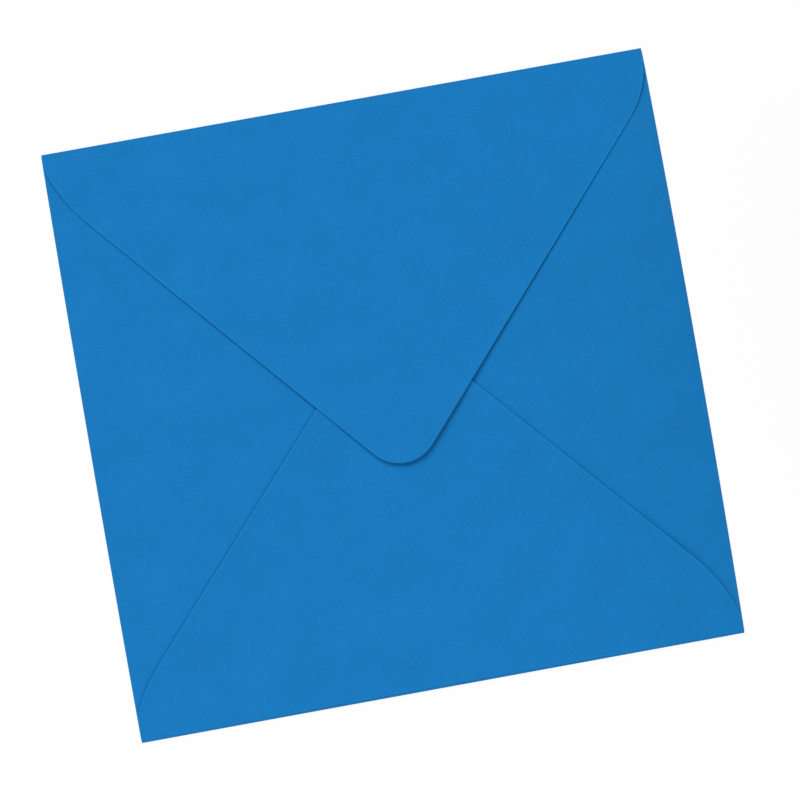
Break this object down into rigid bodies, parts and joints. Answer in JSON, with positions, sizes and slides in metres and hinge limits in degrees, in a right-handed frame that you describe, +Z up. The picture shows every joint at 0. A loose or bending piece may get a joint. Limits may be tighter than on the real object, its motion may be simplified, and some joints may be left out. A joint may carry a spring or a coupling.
{
  "type": "paper envelope",
  "caption": "Square-flap envelope folded from one sheet of plain blue paper, lying flap side up with its pointed flap closed but not stuck.",
  "frame": {"origin": "under the middle of the envelope, on the surface that it lies on", "axes": "+X to the envelope's right seen from the flap side, +Y towards the top fold, +Z up out of the flap side"},
  "size_m": [0.155, 0.15, 0.0021],
  "materials": {
    "paper": "matte blue uncoated envelope paper"
  },
  "bodies": {
    "root": {"envelope": "paper"}
  },
  "joints": []
}
